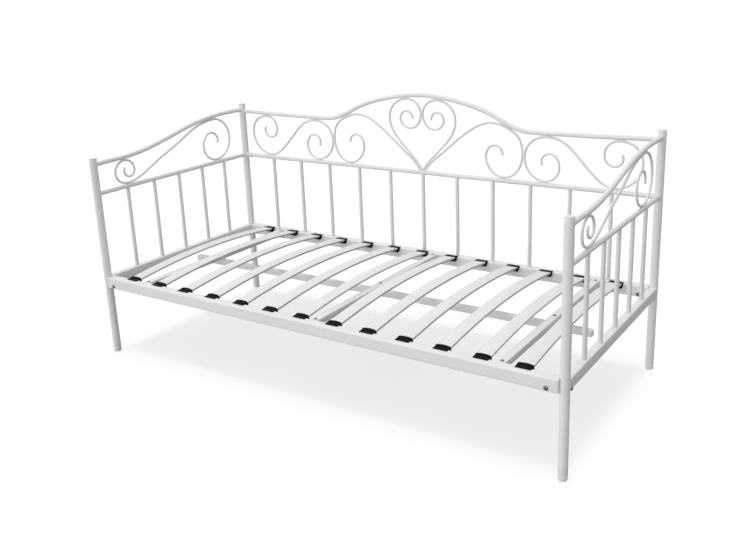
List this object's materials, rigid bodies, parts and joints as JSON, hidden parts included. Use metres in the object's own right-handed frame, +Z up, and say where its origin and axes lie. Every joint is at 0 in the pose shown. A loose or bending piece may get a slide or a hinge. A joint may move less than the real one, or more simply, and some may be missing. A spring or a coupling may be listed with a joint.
{
  "type": "daybed",
  "caption": "Metal single daybed with scrolled rods and spindles in its back and end panels, over a sprung slatted mattress base.",
  "frame": {"origin": "on the floor under the middle of the bed", "axes": "+X along the length to the right end seen from the open front, +Y from the open front to the back panel, +Z up"},
  "size_m": [2.098, 0.965, 1.0522],
  "materials": {
    "white_metal": "satin gloss white powder coat",
    "white_slat": "white lacquered bent plywood",
    "black_plastic": "moulded, fine grain",
    "dark_bolt": "dark bronze plated",
    "white_plastic": "smooth moulded white"
  },
  "bodies": {
    "root": {"back_c_scroll_left": "white_metal", "back_c_scroll_right": "white_metal", "back_heart_scroll_left": "white_metal", "back_heart_scroll_right": "white_metal", "back_mid_rail": "white_metal", "back_rail": "white_metal", "back_rail_collars": "white_metal", "back_s_scroll_left": "white_metal", "back_s_scroll_right": "white_metal", "back_spindles": "white_metal", "back_top_rail": "white_metal", "centre_beam": "white_metal", "corner_brackets": "white_metal", "cross_bar_1": "white_metal", "cross_bar_2": "white_metal", "cross_bar_3": "white_metal", "cross_bar_bolts": "dark_bolt", "cross_bar_brackets": "white_metal", "end_mid_rail_left": "white_metal", "end_mid_rail_right": "white_metal", "end_rail_left": "white_metal", "end_rail_right": "white_metal", "end_scroll_left": "white_metal", "end_scroll_right": "white_metal", "end_spindles_left": "white_metal", "end_spindles_right": "white_metal", "end_top_rail_left": "white_metal", "end_top_rail_right": "white_metal", "foot_back_left": "white_plastic", "foot_back_right": "white_plastic", "foot_front_left": "white_plastic", "foot_front_right": "white_plastic", "frame_bolts": "dark_bolt", "front_rail": "white_metal", "post_back_left": "white_metal", "post_back_right": "white_metal", "post_cap_back_left": "white_plastic", "post_cap_back_right": "white_plastic", "post_cap_front_left": "white_plastic", "post_cap_front_right": "white_plastic", "post_front_left": "white_metal", "post_front_right": "white_metal", "slat_01": "white_slat", "slat_02": "white_slat", "slat_03": "white_slat", "slat_04": "white_slat", "slat_05": "white_slat", "slat_06": "white_slat", "slat_07": "white_slat", "slat_08": "white_slat", "slat_09": "white_slat", "slat_10": "white_slat", "slat_11": "white_slat", "slat_12": "white_slat", "slat_13": "white_slat", "slat_holders_back": "black_plastic", "slat_holders_front": "black_plastic"}
  },
  "joints": []
}
